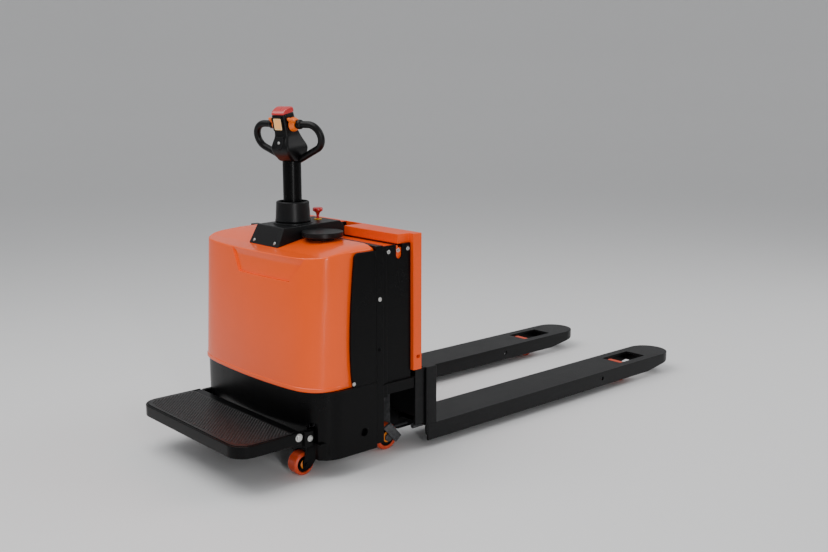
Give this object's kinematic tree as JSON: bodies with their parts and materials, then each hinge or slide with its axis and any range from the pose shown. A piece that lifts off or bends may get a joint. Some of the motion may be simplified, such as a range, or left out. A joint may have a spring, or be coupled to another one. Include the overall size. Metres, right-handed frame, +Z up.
{
  "type": "electric pallet truck",
  "caption": "Ride-on electric pallet truck: two long forks on a lifting battery frame, hooded drive unit, turning tiller and fold-down platform.",
  "frame": {"origin": "on the floor, at the bottom centre of the truck's bounding box at rest", "axes": "+X towards the fork tips, +Y to the left side seen from the platform towards the forks, +Z up"},
  "size_m": [2.1339, 0.708, 1.13],
  "materials": {
    "orange_paint": "glossy powder coat",
    "orange_plastic": "glossy moulded cover",
    "black_paint": "satin powder coat",
    "fork_paint": "satin powder coat, worn tops",
    "black_plastic": "fine-grained moulding",
    "grip_plastic": "soft satin",
    "zinc": "zinc plated",
    "link_steel": "grey plate",
    "castings": "machined casting",
    "motor_paint": "matt",
    "battery_case": "moulded",
    "wheel_poly": "cast polyurethane",
    "load_poly": "cast polyurethane",
    "drive_rubber": "moulded",
    "mat_rubber": "dotted",
    "red_plastic": "gloss",
    "orange_switch": "satin",
    "display_glass": "lit screen",
    "grey_plastic": "satin",
    "yellow_plastic": "satin"
  },
  "bodies": {
    "chassis": {"chassis_frame": "black_paint", "skirt": "black_paint", "front_hood": "orange_plastic", "side_panel_left": "black_paint", "side_panel_right": "black_paint", "console_cover": "black_plastic", "round_shelf": "black_plastic", "key_switch": "zinc", "motor_controller": "motor_paint", "hydraulic_unit": "motor_paint", "lift_cylinder": "motor_paint", "slew_bearing": "zinc", "hinge_brackets": "black_paint", "hinge_pins": "zinc", "support_brackets": "link_steel", "body_screws": "zinc", "battery_tray": "black_paint", "battery": "battery_case", "battery_panel_left": "black_paint", "battery_panel_right": "black_paint", "battery_lid": "orange_paint", "panel_bolts": "zinc"},
    "fork_frame": {"fork_left": "fork_paint", "fork_right": "fork_paint", "fork_carriage": "fork_paint", "backrest": "orange_paint", "lid_grip": "grip_plastic", "lift_rod": "zinc"},
    "load_arm_left": {"load_arm_left": "castings"},
    "load_arm_right": {"load_arm_right": "castings"},
    "load_wheel_left": {"load_wheel_left": "load_poly"},
    "load_wheel_right": {"load_wheel_right": "load_poly"},
    "push_rods": {"push_rods": "castings"},
    "steer_unit": {"steer_column": "motor_paint", "drive_gearbox": "castings", "traction_motor": "motor_paint", "tiller_boot": "black_plastic", "tilt_pin": "zinc"},
    "drive_wheel": {"drive_hub": "castings", "drive_tyre": "drive_rubber"},
    "tiller": {"tiller_shaft": "black_paint", "head_shell": "grip_plastic", "handle_loops": "grip_plastic", "display": "display_glass"},
    "throttle": {"throttle": "orange_switch"},
    "belly_button": {"belly_button": "red_plastic"},
    "lift_button": {"lift_button": "orange_switch"},
    "lower_button": {"lower_button": "grey_plastic"},
    "horn_button": {"horn_button": "yellow_plastic"},
    "emergency_stop": {"emergency_stop": "red_plastic"},
    "ignition_key": {"ignition_key": "zinc"},
    "platform": {"platform_pan": "black_paint", "platform_mat": "mat_rubber"},
    "caster_fork_left": {"caster_fork_left": "black_paint"},
    "caster_fork_right": {"caster_fork_right": "black_paint"},
    "caster_wheel_left": {"caster_wheel_left": "wheel_poly"},
    "caster_wheel_right": {"caster_wheel_right": "wheel_poly"},
    "support_wheel_left": {"support_wheel_left": "wheel_poly"},
    "support_wheel_right": {"support_wheel_right": "wheel_poly"}
  },
  "joints": [
    {"name": "fork_lift", "type": "slide", "parent": "chassis", "child": "fork_frame", "axis": [0, 0, 1], "range_m": [0, 0.12]},
    {"name": "load_arm_left_swing", "type": "hinge", "parent": "fork_frame", "child": "load_arm_left", "pos_m": [0.577, 0.26, 0.058], "axis": [0, 1, 0], "range_deg": [0, 40.91]},
    {"name": "load_wheel_left_spin", "type": "hinge", "parent": "load_arm_left", "child": "load_wheel_left", "pos_m": [0.767, 0.26, 0.04], "axis": [0, 1, 0], "continuous": true},
    {"name": "load_arm_right_swing", "type": "hinge", "parent": "fork_frame", "child": "load_arm_right", "pos_m": [0.577, -0.26, 0.058], "axis": [0, 1, 0], "range_deg": [0, 40.91]},
    {"name": "load_wheel_right_spin", "type": "hinge", "parent": "load_arm_right", "child": "load_wheel_right", "pos_m": [0.767, -0.26, 0.04], "axis": [0, 1, 0], "continuous": true},
    {"name": "push_rod_travel", "type": "slide", "parent": "fork_frame", "child": "push_rods", "axis": [-1, 0, 0], "range_m": [0, 0.018]},
    {"name": "steering", "type": "hinge", "parent": "chassis", "child": "steer_unit", "pos_m": [-0.643, 0, 0.262], "axis": [0, 0, 1], "range_deg": [-105, 75]},
    {"name": "drive_wheel_spin", "type": "hinge", "parent": "steer_unit", "child": "drive_wheel", "pos_m": [-0.643, 0, 0.115], "axis": [-0.2588, 0.9659, 0], "continuous": true},
    {"name": "tiller_tilt", "type": "hinge", "parent": "steer_unit", "child": "tiller", "pos_m": [-0.643, 0, 0.77], "axis": [0.2588, -0.9659, 0], "range_deg": [0, 12]},
    {"name": "throttle_turn", "type": "hinge", "parent": "tiller", "child": "throttle", "pos_m": [-0.66618, -0.00621, 1.073], "axis": [-0.2588, 0.9659, 0], "range_deg": [-25, 25], "stiffness_Nm_per_rad": 0.4},
    {"name": "belly_press", "type": "slide", "parent": "tiller", "child": "belly_button", "axis": [0, 0, -1], "range_m": [0, 0.0015], "stiffness_N_per_m": 800},
    {"name": "lift_press", "type": "slide", "parent": "tiller", "child": "lift_button", "axis": [-0.7993, -0.2142, -0.5615], "range_m": [0, 0.003], "stiffness_N_per_m": 600},
    {"name": "lower_press", "type": "slide", "parent": "tiller", "child": "lower_button", "axis": [-0.7993, -0.2142, -0.5615], "range_m": [0, 0.003], "stiffness_N_per_m": 600},
    {"name": "horn_press", "type": "slide", "parent": "tiller", "child": "horn_button", "axis": [-0.915, -0.2452, -0.3204], "range_m": [0, 0.003], "stiffness_N_per_m": 600},
    {"name": "stop_press", "type": "slide", "parent": "chassis", "child": "emergency_stop", "axis": [0, 0, -1], "range_m": [0, 0.006]},
    {"name": "key_turn", "type": "hinge", "parent": "chassis", "child": "ignition_key", "pos_m": [-0.559, 0.048, 0.757], "axis": [0, 0, 1], "range_deg": [0, 60]},
    {"name": "platform_fold", "type": "hinge", "parent": "chassis", "child": "platform", "pos_m": [-0.851, 0, 0.147], "axis": [0, 1, 0], "range_deg": [0, 80]},
    {"name": "caster_left_swivel", "type": "hinge", "parent": "chassis", "child": "caster_fork_left", "pos_m": [-0.768, 0.237, 0.1], "axis": [0, 0, 1], "continuous": true},
    {"name": "caster_wheel_left_spin", "type": "hinge", "parent": "caster_fork_left", "child": "caster_wheel_left", "pos_m": [-0.8, 0.237, 0.037], "axis": [0, 1, 0], "continuous": true},
    {"name": "support_wheel_left_spin", "type": "hinge", "parent": "chassis", "child": "support_wheel_left", "pos_m": [-0.463, 0.239, 0.045], "axis": [0, 1, 0], "continuous": true},
    {"name": "caster_right_swivel", "type": "hinge", "parent": "chassis", "child": "caster_fork_right", "pos_m": [-0.768, -0.237, 0.1], "axis": [0, 0, 1], "continuous": true},
    {"name": "caster_wheel_right_spin", "type": "hinge", "parent": "caster_fork_right", "child": "caster_wheel_right", "pos_m": [-0.8, -0.237, 0.037], "axis": [0, 1, 0], "continuous": true},
    {"name": "support_wheel_right_spin", "type": "hinge", "parent": "chassis", "child": "support_wheel_right", "pos_m": [-0.463, -0.239, 0.045], "axis": [0, 1, 0], "continuous": true}
  ],
  "couplings": [
    {"joint": "load_arm_left_swing", "follows": "fork_lift", "rad_per_m": 5.9483},
    {"joint": "load_arm_right_swing", "follows": "fork_lift", "rad_per_m": 5.9483},
    {"joint": "push_rod_travel", "follows": "fork_lift", "ratio": 0.14}
  ]
}
